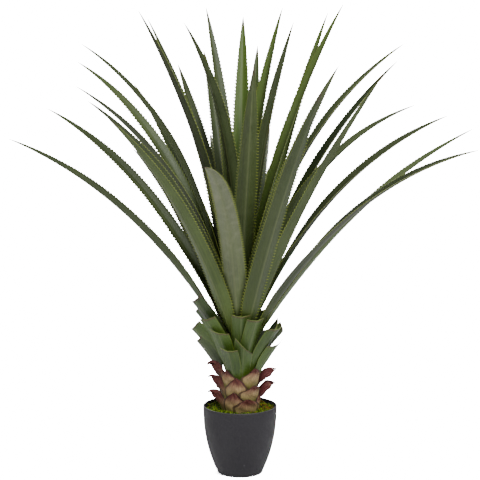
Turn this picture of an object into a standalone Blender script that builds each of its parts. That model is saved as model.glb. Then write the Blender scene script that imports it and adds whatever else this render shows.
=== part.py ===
"""A potted agave, built up the way the plant and its pot really go together.

A round tapering pot holds a plug of soil with a mat of moss on it. The short trunk stands in the soil.
Three whorls of dry, curled husks wrap the trunk, trimmed green leaf bases follow above them, and a
fountain of long channelled sword leaves grows from the top.

Units are metres, +Z is up, and the origin is the middle of the pot's flat underside.
Azimuths are in degrees about +Z from +X. A lean is an angle from straight up. Heights of the
trunk, the leaf bases and the leaves are measured from the top of the moss, and reaches from the
side of the trunk, so that the plant keeps its shape in another pot or on another trunk.
"""

import math

import bmesh
import bpy
from mathutils import Vector

# ---------------------------------------------------------------- driving dimensions

# Pot: a thin shell whose side is upright at the rim and curves in to a flat foot.
POT_HEIGHT = 0.178
POT_RIM_RADIUS = 0.0955
POT_FOOT_RADIUS = 0.0575
POT_WALL = 0.004
POT_FLOOR = 0.005
POT_SIDE_POWER = 2.3  # how quickly the side turns in towards the foot
POT_FOOT_ROUND = 0.005
POT_SEGMENTS = 36

# Filling
MOSS_TOP_BELOW_RIM = 0.010
MOSS_DEPTH = 0.013
MOSS_BUMP = 0.0022
MOSS_EDGE_DROP = 0.004  # how far the mat is rounded down at both its edges
MOSS_EDGE_BUMP = 0.35  # share of the lumps that is left there
MOSS_LUMPS = 9
MOSS_BROAD_LUMPS = 4
MOSS_SEGMENTS = 36
MOSS_TO_HUSK = 0.00375  # from the middle of the lowest husks to the edge of the mat

# Trunk
TRUNK_RADIUS = 0.042
TRUNK_TIP_RADIUS = 0.005
TRUNK_BURIED = 0.108
TRUNK_SHOULDER = 0.077  # the trunk starts to narrow here
TRUNK_TOP = 0.272
TRUNK_TAPER_POWER = 0.85  # under 1, the cone narrows fastest at its shoulder
TRUNK_SEGMENTS = 28

# Husks: whorls of six dry leaf bases, every other one higher
HUSK_WHORLS = 3
HUSKS_PER_WHORL = 6
HUSK_PITCH = 0.0375
HUSK_BELOW_MOSS = 0.011
HUSK_THICKNESS = 0.0022
HUSK_HIGH_TOP = 0.054
HUSK_LOW_TOP = 0.046
HUSK_VALLEY = 0.034  # height of the collar between two husks
HUSK_FLARE = 16.0  # degrees
HUSK_POINT_POWER = 1.6  # how full the sides of a pointed husk are
HUSK_CURL_START = 0.026
HUSK_CURL_POWER = 1.5
HUSK_FIRST_AZIMUTH = 180.0
HUSK_WHORL_TURN = 8.0
HUSK_COLUMNS = 6
HUSK_ROWS = 4
# How far the tip of each husk curls out, in azimuth order from the first
HUSK_CURLS = (0.028, 0.006, 0.007, 0.030, 0.014, 0.018)

# Trimmed leaf bases
STUB_WIDTH = 0.044
STUB_THICKNESS = 0.0022
STUB_CHANNEL = 0.36  # depth of the channel as a share of half the width
STUB_BOW = 16.0
STUB_CUT_SHARE = 0.25  # half of what a full slant takes off one side of the cut end
STUB_FOOT_SHARE = 0.62  # width at the foot, as a share of the full width
STUB_GROWS_OVER = 0.50  # share of the length over which it reaches its full width

# Leaves
LEAF_WIDTH = 0.050
LEAF_TIP_WIDTH = 0.0016
LEAF_THICKNESS = 0.0020
LEAF_CHANNEL = 0.38
LEAF_ROWS = 12
LEAF_ROW_CROWDING = 0.92  # under 1, the rows lie closer towards the tip
LEAF_GROWS_OVER = 0.30  # share of the length over which it reaches its full width
LEAF_POINT_POWERS = (3, 0.8)  # the outline towards the tip is (1 - s**first)**second
LEAF_BASE_HALF = 0.0044  # half width of a base that would grow on a trunk of no radius
LEAF_BASE_PER_RADIUS = 0.33  # what the base gains for each metre of the trunk's radius
LEAF_TWIST_START = 0.15
LEAF_TWIST_OVER = 0.60
LEAF_LOW_BASE = 0.154
LEAF_HIGH_BASE = 0.260
LEAF_STEEPEST = 2.0  # a leaf that leans this much at its base grows highest on the trunk
LEAF_FLATTEST = 34.0  # a leaf that leans this much at its base grows lowest
ARCH_ARM = 0.36  # how long a blade keeps its direction at each end, as a share of its length

FIT_GAP = 0.0004  # clearance between pieces that touch
BASE_STANDOFF = 0.0034  # from the trunk's skin to the middle of a leaf base

# Trimmed bases: name, azimuth, base height, reach of the cut end, its height, slant of the cut,
# twist at the cut end
STUBS = (
    ("left_top", 196, 0.144, 0.080, 0.294, -0.10, 24),
    ("left_upper", 171, 0.131, 0.076, 0.256, -0.10, 24),
    ("left_lower", 186, 0.107, 0.080, 0.220, -0.10, 30),
    ("left_bottom", 180, 0.083, 0.068, 0.184, -0.10, 28),
    ("front_left_top", 213, 0.120, 0.062, 0.246, 0.05, 20),
    ("front_left_lower", 230, 0.099, 0.049, 0.220, 0.30, 12),
    ("front_bottom", 249, 0.082, 0.044, 0.170, 0.10, 0),
    ("front_point", 278, 0.091, 0.045, 0.198, 0.90, 0),
    ("front_top", 272, 0.133, 0.038, 0.256, 0.00, 0),
    ("front_right_top", 298, 0.121, 0.048, 0.246, 0.00, 0),
    ("front_right_lower", 330, 0.103, 0.068, 0.222, -0.15, -10),
    ("right_front", 348, 0.118, 0.064, 0.230, -0.55, 10),
    ("right_curled", 42, 0.141, 0.053, 0.256, 0.30, 0),
    ("right_lower", 14, 0.107, 0.080, 0.210, -0.30, 8),
    ("right_bottom", 344, 0.080, 0.066, 0.186, -0.50, -14),
    ("back_right", 58, 0.090, 0.064, 0.188, 0.00, 0),
    ("back", 92, 0.106, 0.064, 0.218, 0.10, 0),
    ("back_left", 130, 0.090, 0.066, 0.192, -0.10, 0),
)

# Leaves: azimuth, lean at the base, reach and height of the tip, droop of the tip, twist,
# share of LEAF_WIDTH. A droop of 1 is a circular arch, and more bends the tip over further.
LEAVES = (
    (172, 31.0, 0.558, 0.690, 1.2, 24, 0.98),
    (156, 27.0, 0.518, 0.760, 1.3, 22, 1.00),
    (235, 27.5, 0.463, 0.767, 1.3, -8, 1.02),
    (201, 16.0, 0.378, 0.832, 1.4, -26, 1.00),
    (219, 20.5, 0.408, 0.802, 1.3, -14, 1.04),
    (150, 18.5, 0.458, 0.884, 1.5, 22, 1.00),
    (176, 13.0, 0.356, 0.932, 1.7, 22, 0.98),
    (131, 24.5, 0.398, 0.822, 1.4, 14, 0.94),
    (204, 8.0, 0.226, 1.012, 1.0, -18, 0.98),
    (146, 10.2, 0.248, 0.997, 0.9, 12, 1.06),
    (230, 1.0, 0.163, 0.982, 1.6, -8, 1.00),
    (114, 20.9, 0.378, 0.877, 1.2, 6, 0.94),
    (107, 15.8, 0.298, 0.914, 1.2, 0, 0.94),
    (125, 5.4, 0.110, 1.026, 1.0, 14, 1.06),
    (263, 24.0, 0.558, 0.677, 1.2, 0, 1.06),
    (88, 12.4, 0.168, 1.004, 0.8, 0, 1.06),
    (82, 18.6, 0.308, 0.927, 1.0, 0, 0.94),
    (276, 14.6, 0.268, 0.882, 1.0, -6, 1.02),
    (49, 2.5, 0.123, 1.024, 1.0, -10, 1.02),
    (312, 6.0, 0.148, 0.984, 1.0, 10, 0.98),
    (38, 14.4, 0.248, 1.012, 0.8, -16, 0.98),
    (13, 8.8, 0.226, 1.032, 1.0, -22, 1.06),
    (301, 20.5, 0.388, 0.884, 1.0, 8, 1.04),
    (292, 28.6, 0.438, 0.827, 1.2, 0, 1.00),
    (350, 11.8, 0.363, 0.932, 1.4, 22, 1.00),
    (318, 25.5, 0.398, 0.862, 1.1, 14, 1.04),
    (14, 17.9, 0.373, 0.888, 1.2, -20, 0.96),
    (332, 16.4, 0.423, 0.790, 1.4, 16, 1.02),
    (353, 23.0, 0.473, 0.757, 1.3, 22, 1.00),
    (5, 32.5, 0.553, 0.717, 1.2, -20, 0.98),
    (341, 30.0, 0.558, 0.682, 1.4, 18, 1.00),
    (80, 26.5, 0.458, 0.694, 1.3, 0, 0.96),
    (99, 29.5, 0.508, 0.672, 1.3, 6, 1.00),
    (124, 34.0, 0.498, 0.637, 1.3, 10, 0.98),
    (77, 32.0, 0.458, 0.632, 1.3, -8, 1.00),
)

# ---------------------------------------------------------------- helpers


def clear_scene():
    for obj in list(bpy.data.objects):
        bpy.data.objects.remove(obj, do_unlink=True)


def make_collection(name):
    collection = bpy.data.collections.new(name)
    bpy.context.scene.collection.children.link(collection)
    return collection


def make_material(name, colour, roughness):
    material = bpy.data.materials.new(name)
    material.use_nodes = True
    shader = material.node_tree.nodes["Principled BSDF"]
    shader.inputs["Base Color"].default_value = (*colour, 1.0)
    shader.inputs["Roughness"].default_value = roughness
    shader.inputs["Metallic"].default_value = 0.0
    return material


def add_object(name, mesh, collection, material):
    obj = bpy.data.objects.new(name, mesh)
    collection.objects.link(obj)
    mesh.materials.append(material)
    return obj


def smoothstep(value):
    value = min(1.0, max(0.0, value))
    return value * value * (3.0 - 2.0 * value)


def turned(name, profile, segments, collection, material, closed=False):
    """A turned solid. The profile is (radius, height) points that run down the outer side."""
    mesh = bpy.data.meshes.new(name)
    points = [(radius, 0.0, height) for radius, height in profile]
    edges = [(i, i + 1) for i in range(len(points) - 1)]
    if closed:
        edges.append((len(points) - 1, 0))
    mesh.from_pydata(points, edges, [])
    obj = add_object(name, mesh, collection, material)
    screw = obj.modifiers.new("turn", "SCREW")
    screw.axis = "Z"
    screw.angle = math.tau
    screw.steps = segments
    screw.render_steps = segments
    screw.use_merge_vertices = True
    screw.merge_threshold = 0.00001
    screw.use_smooth_shade = True
    return obj


def shell_from_grid(name, point_at, columns, rows, thickness, collection, material, ring=False):
    """A thin closed shell: a grid laid on the surface point_at(across, along), then Solidify."""
    mesh = bpy.data.meshes.new(name)
    bm = bmesh.new()
    lines = columns if ring else columns + 1
    grid = [
        [bm.verts.new(point_at(i / columns, j / rows)) for i in range(lines)]
        for j in range(rows + 1)
    ]
    for lower, upper in zip(grid, grid[1:]):
        for i in range(columns):
            k = (i + 1) % lines
            bm.faces.new((lower[i], lower[k], upper[k], upper[i]))
    bmesh.ops.recalc_face_normals(bm, faces=bm.faces)
    bm.to_mesh(mesh)
    bm.free()
    obj = add_object(name, mesh, collection, material)
    solidify = obj.modifiers.new("thickness", "SOLIDIFY")
    solidify.thickness = thickness
    solidify.offset = 0.0
    solidify.use_even_offset = False
    mesh.shade_smooth()
    return obj


# ---------------------------------------------------------------- pot, soil, moss and trunk


def pot_outer_radius(height):
    """Radius of the pot's outer side at a height."""
    left = 1.0 - height / POT_HEIGHT
    return POT_FOOT_RADIUS + (POT_RIM_RADIUS - POT_FOOT_RADIUS) * (1.0 - left**POT_SIDE_POWER)


def pot_inner_radius(height):
    return pot_outer_radius(height) - POT_WALL


def build_pot(collection, material):
    levels = 8
    lip = POT_WALL / 2.0
    inner_top = POT_HEIGHT - lip
    inner = [(0.0, POT_FLOOR)]
    for i in range(levels + 1):
        height = POT_FLOOR + (inner_top - POT_FLOOR) * i / levels
        inner.append((pot_inner_radius(height), height))
    rim = []
    for i in range(1, 4):
        angle = math.pi * i / 4.0
        centre = POT_RIM_RADIUS - lip
        rim.append((centre - lip * math.cos(angle), inner_top + lip * math.sin(angle)))
    outer = []
    for i in range(levels + 1):
        height = inner_top + (POT_FOOT_ROUND - inner_top) * i / levels
        outer.append((pot_outer_radius(height), height))
    foot_radius = pot_outer_radius(POT_FOOT_ROUND)
    foot = []
    for i in range(1, 4):
        angle = math.pi / 2.0 * i / 3.0
        radius = foot_radius - POT_FOOT_ROUND * (1.0 - math.cos(angle))
        foot.append((radius, POT_FOOT_ROUND * (1.0 - math.sin(angle))))
    profile = inner + rim + outer + foot + [(0.0, 0.0)]
    return turned("pot", profile, POT_SEGMENTS, collection, material)


def moss_top():
    return POT_HEIGHT - MOSS_TOP_BELOW_RIM


def soil_top():
    return moss_top() - MOSS_DEPTH - FIT_GAP


def trunk_bottom():
    return moss_top() - TRUNK_BURIED


def trunk_radius(height):
    """Radius of the bare trunk at a height: upright below its shoulder, then a rounded cone."""
    above = height - moss_top()
    if above <= TRUNK_SHOULDER:
        return TRUNK_RADIUS
    share = (above - TRUNK_SHOULDER) / (TRUNK_TOP - TRUNK_SHOULDER)
    return TRUNK_TIP_RADIUS + (TRUNK_RADIUS - TRUNK_TIP_RADIUS) * (1.0 - share**TRUNK_TAPER_POWER)


def build_trunk(collection, material):
    levels = 12
    top = moss_top() + TRUNK_TOP
    cone_top = top - TRUNK_TIP_RADIUS
    shoulder = moss_top() + TRUNK_SHOULDER
    bottom = trunk_bottom()
    profile = [(0.0, top)]
    for i in range(levels + 1):
        height = cone_top + (shoulder - cone_top) * i / levels
        profile.append((trunk_radius(height), height))
    profile.append((TRUNK_RADIUS, soil_top()))
    round_off = TRUNK_RADIUS / 3.0
    profile.append((TRUNK_RADIUS, bottom + round_off))
    profile.append((TRUNK_RADIUS - round_off, bottom))
    profile.append((0.0, bottom))
    return turned("trunk", profile, TRUNK_SEGMENTS, collection, material)


def build_soil(collection, material):
    """A plug of soil that fills the pot and has a blind hole for the trunk's buried end."""
    levels = 7
    hole = TRUNK_RADIUS + 2.0 * FIT_GAP
    bottom = POT_FLOOR + FIT_GAP
    profile = [
        (0.0, trunk_bottom() - FIT_GAP),
        (hole, trunk_bottom() - FIT_GAP),
        (hole, soil_top()),
    ]
    for i in range(levels + 1):
        height = soil_top() + (bottom - soil_top()) * i / levels
        profile.append((pot_inner_radius(height) - 2.0 * FIT_GAP, height))
    profile.append((0.0, bottom))
    return turned("soil", profile, POT_SEGMENTS, collection, material)


def build_moss(collection, material):
    """A mat of moss with a lumpy top, between the lowest husks and the pot's wall."""
    inside = husk_middle_radius(0, HUSK_BELOW_MOSS) + MOSS_TO_HUSK
    outside = pot_inner_radius(moss_top() - MOSS_DEPTH) - 3.0 * FIT_GAP
    bottom = moss_top() - MOSS_DEPTH
    rows = 4
    mesh = bpy.data.meshes.new("moss")
    bm = bmesh.new()
    rings = []
    for j in range(rows + 1):
        radius = inside + (outside - inside) * j / rows
        ring = []
        for i in range(MOSS_SEGMENTS):
            angle = math.tau * i / MOSS_SEGMENTS
            lump = math.sin(MOSS_LUMPS * angle + 2.1 * j) + math.cos(MOSS_BROAD_LUMPS * angle - 1.3 * j)
            edge = MOSS_EDGE_BUMP if j in (0, rows) else 1.0
            drop = MOSS_EDGE_DROP if j in (0, rows) else 0.0
            height = moss_top() - drop - MOSS_BUMP + MOSS_BUMP * 0.5 * edge * lump
            point = (radius * math.cos(angle), radius * math.sin(angle), height)
            ring.append(bm.verts.new(point))
        rings.append(ring)
    for radius in (outside, inside):
        ring = []
        for i in range(MOSS_SEGMENTS):
            angle = math.tau * i / MOSS_SEGMENTS
            ring.append(bm.verts.new((radius * math.cos(angle), radius * math.sin(angle), bottom)))
        rings.append(ring)
    for first, second in zip(rings, rings[1:] + rings[:1]):
        for i in range(MOSS_SEGMENTS):
            k = (i + 1) % MOSS_SEGMENTS
            bm.faces.new((first[i], second[i], second[k], first[k]))
    bmesh.ops.recalc_face_normals(bm, faces=bm.faces)
    bm.to_mesh(mesh)
    bm.free()
    mesh.shade_smooth()
    return add_object("moss", mesh, collection, material)


# ---------------------------------------------------------------- husks


def husk_base(whorl):
    return moss_top() - HUSK_BELOW_MOSS + HUSK_PITCH * whorl


def husk_middle_radius(whorl, height):
    """Radius of the middle of a whorl's wall, at a height above its base and below its curl."""
    start = trunk_radius(husk_base(whorl)) + FIT_GAP + HUSK_THICKNESS
    return start + height * math.tan(math.radians(HUSK_FLARE))


def husk_point(whorl, around, along):
    """A point on the collar of one whorl. Six pointed lobes curl out, every other one higher."""
    position = around * HUSKS_PER_WHORL + 0.5
    index = int(position) % HUSKS_PER_WHORL
    across = 2.0 * (position - int(position)) - 1.0
    azimuth = math.radians(HUSK_FIRST_AZIMUTH + around * 360.0 + HUSK_WHORL_TURN * whorl)
    top = HUSK_HIGH_TOP if (index + whorl) % 2 == 0 else HUSK_LOW_TOP
    height = along * (HUSK_VALLEY + (top - HUSK_VALLEY) * (1.0 - abs(across) ** HUSK_POINT_POWER))
    over = max(0.0, height - HUSK_CURL_START) / (HUSK_HIGH_TOP - HUSK_CURL_START)
    radius = husk_middle_radius(whorl, height) + HUSK_CURLS[index] * over**HUSK_CURL_POWER
    rise = husk_base(whorl) + height
    return Vector((radius * math.cos(azimuth), radius * math.sin(azimuth), rise))


def build_husks(collection, material):
    for whorl in range(HUSK_WHORLS):
        shell_from_grid(
            f"husk_whorl_{whorl + 1}",
            lambda around, along, whorl=whorl: husk_point(whorl, around, along),
            HUSKS_PER_WHORL * HUSK_COLUMNS,
            HUSK_ROWS,
            HUSK_THICKNESS,
            collection,
            material,
            ring=True,
        )


# ---------------------------------------------------------------- blades


def bezier(points, s):
    a, b, c, d = points
    r = 1.0 - s
    return a * r**3 + b * (3.0 * r * r * s) + c * (3.0 * r * s * s) + d * s**3


def bezier_slope(points, s):
    a, b, c, d = points
    r = 1.0 - s
    return (b - a) * (3.0 * r * r) + (c - b) * (6.0 * r * s) + (d - c) * (3.0 * s * s)


def arching_line(azimuth, start, end, base_lean, droop):
    """Control points of a centreline from start to end, both (radius, height), that bows outwards."""
    out = Vector((math.cos(math.radians(azimuth)), math.sin(math.radians(azimuth)), 0.0))
    up = Vector((0.0, 0.0, 1.0))
    run = end[0] - start[0]
    rise = end[1] - start[1]
    mean_lean = math.atan2(run, rise)
    first = math.radians(base_lean)
    last = mean_lean + (mean_lean - first) * droop
    arm = math.hypot(run, rise) * ARCH_ARM
    a = out * start[0] + up * start[1]
    d = out * end[0] + up * end[1]
    b = a + (out * math.sin(first) + up * math.cos(first)) * arm
    c = d - (out * math.sin(last) + up * math.cos(last)) * arm
    return (a, b, c, d)


def blade_point(line, azimuth, s, across, half_width, channel, twist):
    """A point on a channelled blade: s runs along its centreline, across is -1 to 1."""
    slope = bezier_slope(line, s).normalized()
    angle = math.radians(azimuth)
    side = Vector((-math.sin(angle), math.cos(angle), 0.0))
    inner = slope.cross(side).normalized()
    if inner.z < 0.0:
        inner.negate()
    turn = math.radians(twist)
    turned_side = side * math.cos(turn) + inner * math.sin(turn)
    turned_inner = inner * math.cos(turn) - side * math.sin(turn)
    offset = turned_side * (half_width * across) + turned_inner * (channel * half_width * across**2)
    return bezier(line, s) + offset


def blade_start(base):
    """Where a blade leaves the trunk, as (radius, height), for a base at a height above the moss."""
    height = moss_top() + base
    return (trunk_radius(height) + BASE_STANDOFF, height)


def blade_end(reach, height):
    return (TRUNK_RADIUS + reach, moss_top() + height)


def stub_surface(azimuth, base, reach, height, slant, twist):
    start = blade_start(base)
    end = blade_end(reach, height)
    mean_lean = math.degrees(math.atan2(end[0] - start[0], end[1] - start[1]))
    line = arching_line(azimuth, start, end, mean_lean - STUB_BOW / 2.0, 1.0)

    def point_at(across, along):
        t = 2.0 * across - 1.0
        cut = abs(slant) * STUB_CUT_SHARE * (1.0 + math.copysign(1.0, slant) * t)
        s = along * (1.0 - cut)
        growing = smoothstep(s / STUB_GROWS_OVER)
        width = STUB_WIDTH * (STUB_FOOT_SHARE + (1.0 - STUB_FOOT_SHARE) * growing)
        return blade_point(line, azimuth, s, t, width / 2.0, STUB_CHANNEL, twist * smoothstep(s))

    return point_at


def build_stubs(collection, material):
    for name, azimuth, base, reach, height, slant, twist in STUBS:
        shell_from_grid(
            f"leaf_base_{name}",
            stub_surface(azimuth, base, reach, height, slant, twist),
            4,
            4,
            STUB_THICKNESS,
            collection,
            material,
        )


def leaf_base_height(base_lean):
    """The more a leaf leans, the lower on the trunk it grows."""
    share = (base_lean - LEAF_STEEPEST) / (LEAF_FLATTEST - LEAF_STEEPEST)
    return LEAF_HIGH_BASE - (LEAF_HIGH_BASE - LEAF_LOW_BASE) * share


def leaf_half_width(s, full, base_half):
    """Half width along a leaf: it grows out of a narrow base and runs out to a long point."""
    body = (1.0 - s ** LEAF_POINT_POWERS[0]) ** LEAF_POINT_POWERS[1]
    growing = smoothstep(s / LEAF_GROWS_OVER)
    half = base_half + (full / 2.0 - base_half) * growing
    return max(LEAF_TIP_WIDTH / 2.0, half * body)


def leaf_surface(azimuth, base_lean, reach, height, droop, twist, width_share):
    start = blade_start(leaf_base_height(base_lean))
    line = arching_line(azimuth, start, blade_end(reach, height), base_lean, droop)
    base_half = LEAF_BASE_HALF + LEAF_BASE_PER_RADIUS * trunk_radius(start[1])

    def point_at(across, along):
        s = along**LEAF_ROW_CROWDING
        half = leaf_half_width(s, LEAF_WIDTH * width_share, base_half)
        turn = twist * smoothstep((s - LEAF_TWIST_START) / LEAF_TWIST_OVER)
        return blade_point(line, azimuth, s, 2.0 * across - 1.0, half, LEAF_CHANNEL, turn)

    return point_at


def build_leaves(collection, material):
    for number, leaf in enumerate(LEAVES, start=1):
        shell_from_grid(
            f"leaf_{number:02d}",
            leaf_surface(*leaf),
            2,
            LEAF_ROWS,
            LEAF_THICKNESS,
            collection,
            material,
        )


# ---------------------------------------------------------------- the whole plant


def main():
    clear_scene()
    plant = make_collection("potted_agave")
    build_pot(plant, make_material("charcoal_plastic", (0.045, 0.042, 0.050), 0.55))
    build_soil(plant, make_material("dark_soil", (0.050, 0.032, 0.020), 0.95))
    build_moss(plant, make_material("dyed_moss", (0.180, 0.240, 0.020), 0.95))
    build_trunk(plant, make_material("fibrous_trunk", (0.200, 0.150, 0.080), 0.85))
    build_husks(plant, make_material("dry_husk", (0.260, 0.120, 0.080), 0.75))
    build_stubs(plant, make_material("cut_leaf_green", (0.120, 0.200, 0.050), 0.55))
    build_leaves(plant, make_material("leaf_green", (0.080, 0.130, 0.050), 0.55))


main()
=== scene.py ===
# %% [markdown]
# # A potted agave
#
# This lesson dresses a finished CAD model of a potted agave. The CAD model is the fixed frame: it says
# where the pot, the moss, the trunk, the husks, the trimmed leaf bases and the long leaves are. Every
# piece below is modelled over the solid that it stands for, and gets a procedural finish.

# %% Load the frame
import math
import random

import bmesh
import bpy
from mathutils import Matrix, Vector


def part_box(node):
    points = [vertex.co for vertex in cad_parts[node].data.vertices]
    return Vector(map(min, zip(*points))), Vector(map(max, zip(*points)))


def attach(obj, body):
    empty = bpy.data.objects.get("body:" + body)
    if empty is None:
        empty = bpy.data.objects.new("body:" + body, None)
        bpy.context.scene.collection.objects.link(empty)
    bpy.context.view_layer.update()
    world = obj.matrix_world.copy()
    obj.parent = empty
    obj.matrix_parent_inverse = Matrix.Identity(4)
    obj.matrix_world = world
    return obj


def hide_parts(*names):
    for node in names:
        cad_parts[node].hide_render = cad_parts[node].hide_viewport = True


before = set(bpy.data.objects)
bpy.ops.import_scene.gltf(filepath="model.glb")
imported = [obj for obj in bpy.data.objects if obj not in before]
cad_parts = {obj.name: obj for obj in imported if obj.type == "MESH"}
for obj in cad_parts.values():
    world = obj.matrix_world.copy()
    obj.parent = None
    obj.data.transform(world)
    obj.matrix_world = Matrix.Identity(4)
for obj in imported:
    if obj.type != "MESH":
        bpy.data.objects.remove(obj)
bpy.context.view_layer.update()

# %% [markdown]
# ## Camera
#
# A product view of a floor plant is taken with a long lens from the height of its crown, looking a
# little down, so that the moss shows and the leaves keep their true proportions. The camera stands in
# front of the plant, on the -Y side.

# %% Camera
CAMERA_DISTANCE = 3.6
CAMERA_HEIGHT = 1.11
CAMERA_TILT = math.radians(7.95)  # downwards
CAMERA_LENS = 107.25

camera = bpy.data.objects.new("camera", bpy.data.cameras.new("camera"))
bpy.context.scene.collection.objects.link(camera)
camera.data.lens = CAMERA_LENS
camera.data.sensor_width = 36.0
camera.location = (0.0, -CAMERA_DISTANCE, CAMERA_HEIGHT)
camera.rotation_euler = (math.pi / 2.0 - CAMERA_TILT, 0.0, 0.0)
bpy.context.scene.camera = camera
print("camera", tuple(round(x, 2) for x in camera.location))

# %% [markdown]
# ## Floor and light
#
# The setting is a plain pale studio: a wide floor in a bright even surround. The camera sees both
# brighter than they light the plant, as when a white backdrop has lamps of its own, and the floor
# fades into the surround, so no horizon shows.

# %% Floor
FLOOR_SIZE = 14.0
FLOOR_FADE = (1.2, 4.5)  # distances over which the floor fades into the surround
FLOOR_SEEN = 28.0  # how bright the camera sees the floor

bpy.ops.object.select_all(action="DESELECT")
bpy.ops.mesh.primitive_plane_add(size=FLOOR_SIZE)
floor = bpy.context.active_object
floor.name = "floor"

floor_material = bpy.data.materials.new("studio_floor")
floor_material.use_nodes = True
tree = floor_material.node_tree
shader = tree.nodes["Principled BSDF"]
shader.inputs["Base Color"].default_value = (0.86, 0.86, 0.86, 1.0)
shader.inputs["Roughness"].default_value = 0.9
shader.inputs["Specular IOR Level"].default_value = 0.1
ray = tree.nodes.new("ShaderNodeLightPath")
seen = tree.nodes.new("ShaderNodeBsdfDiffuse")
seen.inputs["Color"].default_value = (FLOOR_SEEN, FLOOR_SEEN, FLOOR_SEEN, 1.0)
clear = tree.nodes.new("ShaderNodeBsdfTransparent")
place = tree.nodes.new("ShaderNodeTexCoord")
distance = tree.nodes.new("ShaderNodeVectorMath")
distance.operation = "LENGTH"
fade = tree.nodes.new("ShaderNodeMapRange")
fade.interpolation_type = "SMOOTHSTEP"
fade.inputs["From Min"].default_value = FLOOR_FADE[0]
fade.inputs["From Max"].default_value = FLOOR_FADE[1]
for_camera = tree.nodes.new("ShaderNodeMixShader")
faded = tree.nodes.new("ShaderNodeMixShader")
tree.links.new(ray.outputs["Is Camera Ray"], for_camera.inputs["Fac"])
tree.links.new(shader.outputs["BSDF"], for_camera.inputs[1])
tree.links.new(seen.outputs["BSDF"], for_camera.inputs[2])
tree.links.new(place.outputs["Object"], distance.inputs[0])
tree.links.new(distance.outputs["Value"], fade.inputs["Value"])
tree.links.new(fade.outputs["Result"], faded.inputs["Fac"])
tree.links.new(for_camera.outputs[0], faded.inputs[1])
tree.links.new(clear.outputs[0], faded.inputs[2])
tree.links.new(faded.outputs[0], tree.nodes["Material Output"].inputs["Surface"])
floor.data.materials.append(floor_material)
print("floor", FLOOR_SIZE, "m wide")

# %% [markdown]
# Three soft lights stand round the plant. The large one at the upper front makes each leaf light on one
# half and dark on the other, a weak one low on the left opens the shadows, and one behind lights the
# far side of the crown and the rims of its leaves.

# %% Surround and lights
SURROUND_LIGHT = 0.37
SURROUND_SEEN = 20.0  # how bright the camera sees the surround
LIGHTS_AIM = (0.0, 0.0, 0.6)
# name, place, width and power in watts
LIGHTS = (
    ("key", (1.3, -2.5, 3.3), 1.3, 185.0),
    ("fill", (-2.6, -2.2, 1.3), 1.4, 20.0),
    ("back", (-0.6, 2.8, 2.6), 1.6, 90.0),
)

world = bpy.data.worlds.new("studio")
bpy.context.scene.world = world
world.use_nodes = True
tree = world.node_tree
lighting = tree.nodes["Background"]
lighting.inputs["Color"].default_value = (1.0, 1.0, 1.0, 1.0)
lighting.inputs["Strength"].default_value = SURROUND_LIGHT
backdrop = tree.nodes.new("ShaderNodeBackground")
backdrop.inputs["Color"].default_value = (1.0, 1.0, 1.0, 1.0)
backdrop.inputs["Strength"].default_value = SURROUND_SEEN
ray = tree.nodes.new("ShaderNodeLightPath")
mix = tree.nodes.new("ShaderNodeMixShader")
tree.links.new(ray.outputs["Is Camera Ray"], mix.inputs["Fac"])
tree.links.new(lighting.outputs[0], mix.inputs[1])
tree.links.new(backdrop.outputs[0], mix.inputs[2])
tree.links.new(mix.outputs[0], tree.nodes["World Output"].inputs["Surface"])

for name, location, size, energy in LIGHTS:
    light = bpy.data.lights.new(name, "AREA")
    light.energy = energy
    light.size = size
    lamp = bpy.data.objects.new(name, light)
    lamp.location = location
    lamp.rotation_euler = (Vector(LIGHTS_AIM) - Vector(location)).to_track_quat("-Z", "Y").to_euler()
    bpy.context.scene.collection.objects.link(lamp)
print("lights:", [row[0] for row in LIGHTS])

# %% [markdown]
# ## Small helpers for modelling by hand
#
# Operators act on whatever is selected, so each step starts with a clean selection and picks its
# vertices by their place. These helpers are used for every piece.


# %% Modelling helpers
def only(piece):
    """Selects one piece and makes it active."""
    if bpy.context.object and bpy.context.object.mode == "EDIT":
        bpy.ops.object.mode_set(mode="OBJECT")
    bpy.ops.object.select_all(action="DESELECT")
    piece.select_set(True)
    bpy.context.view_layer.objects.active = piece


def pick(piece, test):
    """Enters edit mode and selects the vertices whose place passes the test. Returns how many."""
    only(piece)
    bpy.ops.object.mode_set(mode="EDIT")
    bpy.ops.mesh.select_mode(type="VERT")
    bpy.ops.mesh.select_all(action="DESELECT")
    bm = bmesh.from_edit_mesh(piece.data)
    count = 0
    for vertex in bm.verts:
        if test(vertex.co):
            vertex.select = True
            count += 1
    bm.select_flush_mode()
    bmesh.update_edit_mesh(piece.data)
    return count


def object_mode():
    bpy.ops.object.mode_set(mode="OBJECT")


def apply(piece, modifier):
    """Applies one modifier, so that its result becomes the mesh."""
    only(piece)
    bpy.ops.object.modifier_apply(modifier=modifier.name)


def own_copy(blank, name):
    """A copy with a mesh of its own."""
    piece = blank.copy()
    piece.data = blank.data.copy()
    piece.name = name
    piece.data.name = name
    bpy.context.scene.collection.objects.link(piece)
    return piece


def smoothstep(value):
    """A soft rise from 0 to 1 as value goes from 0 to 1."""
    value = min(1.0, max(0.0, value))
    return value * value * (3.0 - 2.0 * value)


def number_attribute(piece, name, value):
    """Stores one number on every vertex, or the number that value(vertex) gives."""
    attribute = piece.data.attributes.new(name, "FLOAT", "POINT")
    for vertex in piece.data.vertices:
        attribute.data[vertex.index].value = value(vertex) if callable(value) else value


print("helpers ready")

# %% [markdown]
# ## Small helpers for materials
#
# Materials are wired in code. A link is made by naming two sockets, and a colour is given as the
# numbers a paint program shows, which Blender needs in linear light.


# %% Number and colour helpers
def paint(red, green, blue):
    """A linear colour from 0 to 255 display values."""
    shares = [value / 255.0 for value in (red, green, blue)]
    linear = [v / 12.92 if v < 0.0404 else ((v + 0.055) / 1.055) ** 2.4 for v in shares]
    return (*linear, 1.0)


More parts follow.
